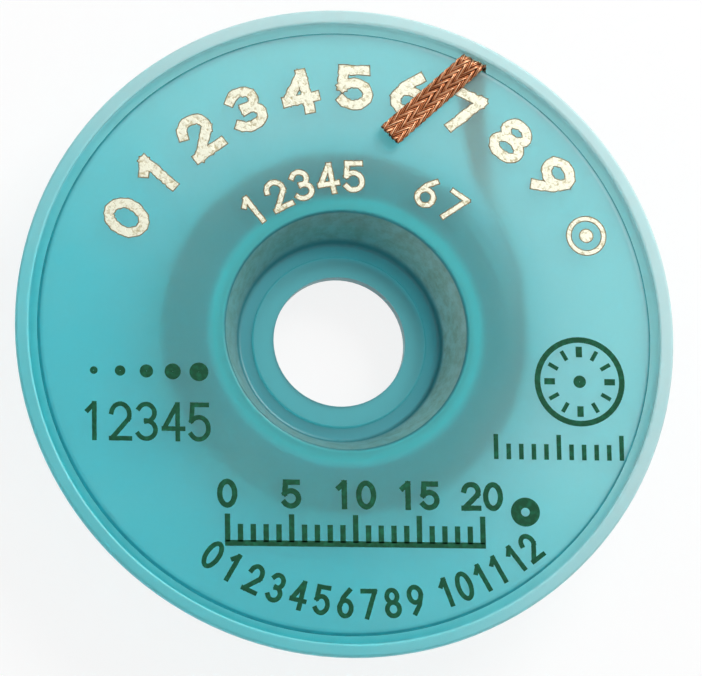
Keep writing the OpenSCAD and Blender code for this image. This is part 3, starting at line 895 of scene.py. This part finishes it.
class BOBBIN_OT_foil(bpy.types.Operator):
    """Stamp the foil dial: an outer and an inner arc of numerals"""
    bl_idname = "bobbin.foil"
    bl_label = "Foil dial"

    def execute(self, context):
        s = context.scene.bobbin.marks
        outer_arc, ring_arc, inner_arc = 20.8 * MM, 20.3 * MM, 13.5 * MM
        inner_at = (128, 118.5, 109.5, 100.5, 91.5, 66, 56)
        # The die leaves a burnt edge a little wider than the bright foil.
        for name, grow, top, made in (("foil_edges", 0.16 * MM, 0.004 * MM, made_once(burnt_foil_edge, s)),
                                      ("foil_marks", 0.0, 0.012 * MM, made_once(hot_stamped_foil, s))):
            # An arc of ten numerals, a ring with a dot at its end, and a smaller arc of seven.
            plates = [on_arc(numeral(str(k), s.numeral + grow, s.stroke + grow, 0.13, k, 1.22), PRINT,
                             outer_arc, 152 - 12.3 * k) for k in range(10)]
            plates += [on_arc(ring_plate(outer, hole, grow / 2), PRINT, ring_arc, 26.5)
                       for outer, hole in ((1.55 * MM, 1.25 * MM), (0.5 * MM, 0.0))]
            plates += [on_arc(numeral(str(k + 1), 2.5 * MM + grow, 0.34 * MM + grow, 0.1, k), PRINT,
                              inner_arc, azimuth) for k, azimuth in enumerate(inner_at)]
            stamp(name, plates, top, made)
        return {"FINISHED"}


class BOBBIN_OT_ink(bpy.types.Operator):
    """Print the ink marks: a size row, a small dial, a short rule, a long rule and an arc of numerals"""
    bl_idname = "bobbin.ink"
    bl_label = "Ink marks"

    def execute(self, context):
        s = context.scene.bobbin.marks
        plates = []
        # A row of dots that grow in size, over numerals 1 to 5.
        for k in range(5):
            x = (-19.9 + 2.05 * k) * MM
            plates.append(at(ring_plate((0.3 + 0.11 * k) * MM), x, -3.6 * MM))
            plates.append(at(numeral(str(k + 1), 3.1 * MM, 0.36 * MM, 0.05, k, 0.85), x, -7.6 * MM))
        # A small dial: a ring, a centre dot and twelve ticks, every third one wider.
        dial = (18.4 * MM, -3.9 * MM)
        plates += [at(ring_plate(3.6 * MM, 3.15 * MM), *dial), at(ring_plate(0.5 * MM), *dial)]
        plates += [on_arc(bar_plate((0.32 if k % 3 else 0.5) * MM, 0.85 * MM), dial, 2.4 * MM, 30 * k)
                   for k in range(12)]
        # A short rule under it and a rule of 20 mm, both with a line each millimetre. Every fifth line is
        # longer and hangs a little higher.
        for x, y, lines, wide, tall, long, up in ((11.6, -9.58, 11, 0.36, 1.25, 2.0, 0.38),
                                                  (-9.6, -16.3, 21, 0.42, 1.4, 2.2, 0.4)):
            plates += [at(bar_plate(wide * MM, (tall if k % 5 else long) * MM), (x + k) * MM,
                          (y if k % 5 else y + up) * MM) for k in range(lines)]
        # The rule's foot line and numerals, and a dot at its end.
        plates.append(at(bar_plate(20.42 * MM, 0.46 * MM), 0.4 * MM, -17.1 * MM))
        plates += [at(numeral(str(k), 2.3 * MM, 0.42 * MM, 0.05, k), (-9.6 + k) * MM, -13.2 * MM)
                   for k in (0, 5, 10, 15, 20)]
        plates.append(at(ring_plate(1.15 * MM, 0.35 * MM), 13.8 * MM, -14.4 * MM))
        # An arc of numerals near the rim, which stand with their feet outwards.
        rim_arc, rim_at = 20.7 * MM, [-125 + 5.1 * k for k in range(10)] + [-70, -61.5, -53]
        plates += [on_arc(numeral(str(k), 2.4 * MM, 0.37 * MM, 0.05, k, 0.76), PRINT, rim_arc, azimuth, True)
                   for k, azimuth in enumerate(rim_at)]
        stamp("ink_marks", plates, 0.01 * MM, made_once(pad_printed_ink, s))
        return {"FINISHED"}


class BOBBIN_PT_panel(bpy.types.Panel):
    """Lists the bobbin's settings and steps"""
    bl_idname = "BOBBIN_PT_panel"
    bl_label = "Braid bobbin"
    bl_space_type = "VIEW_3D"
    bl_region_type = "UI"
    bl_category = "Bobbin"

    def draw(self, context):
        for group in (context.scene.bobbin.braid, context.scene.bobbin.plastic, context.scene.bobbin.marks):
            box = self.layout.box()
            for key in group.__annotations__:
                box.prop(group, key)
        for step in STEPS:
            self.layout.operator(step.bl_idname)


STEPS = (BOBBIN_OT_stage, BOBBIN_OT_free_end, BOBBIN_OT_outer_turns, BOBBIN_OT_inner_layers,
         BOBBIN_OT_plastic, BOBBIN_OT_foil, BOBBIN_OT_ink)
CLASSES = (BraidSettings, PlasticSettings, MarkSettings, BobbinSettings, *STEPS, BOBBIN_PT_panel)


def register():
    for kind in CLASSES:
        bpy.utils.register_class(kind)
    bpy.types.Scene.bobbin = bpy.props.PointerProperty(type=BobbinSettings)


def unregister():
    del bpy.types.Scene.bobbin
    for kind in reversed(CLASSES):
        bpy.utils.unregister_class(kind)


def main():
    register()
    bpy.ops.bobbin.stage()
    bpy.ops.bobbin.free_end()
    bpy.ops.bobbin.outer_turns()
    bpy.ops.bobbin.inner_layers()
    bpy.ops.bobbin.plastic()
    bpy.ops.bobbin.foil()
    bpy.ops.bobbin.ink()


if __name__ == "__main__":
    main()
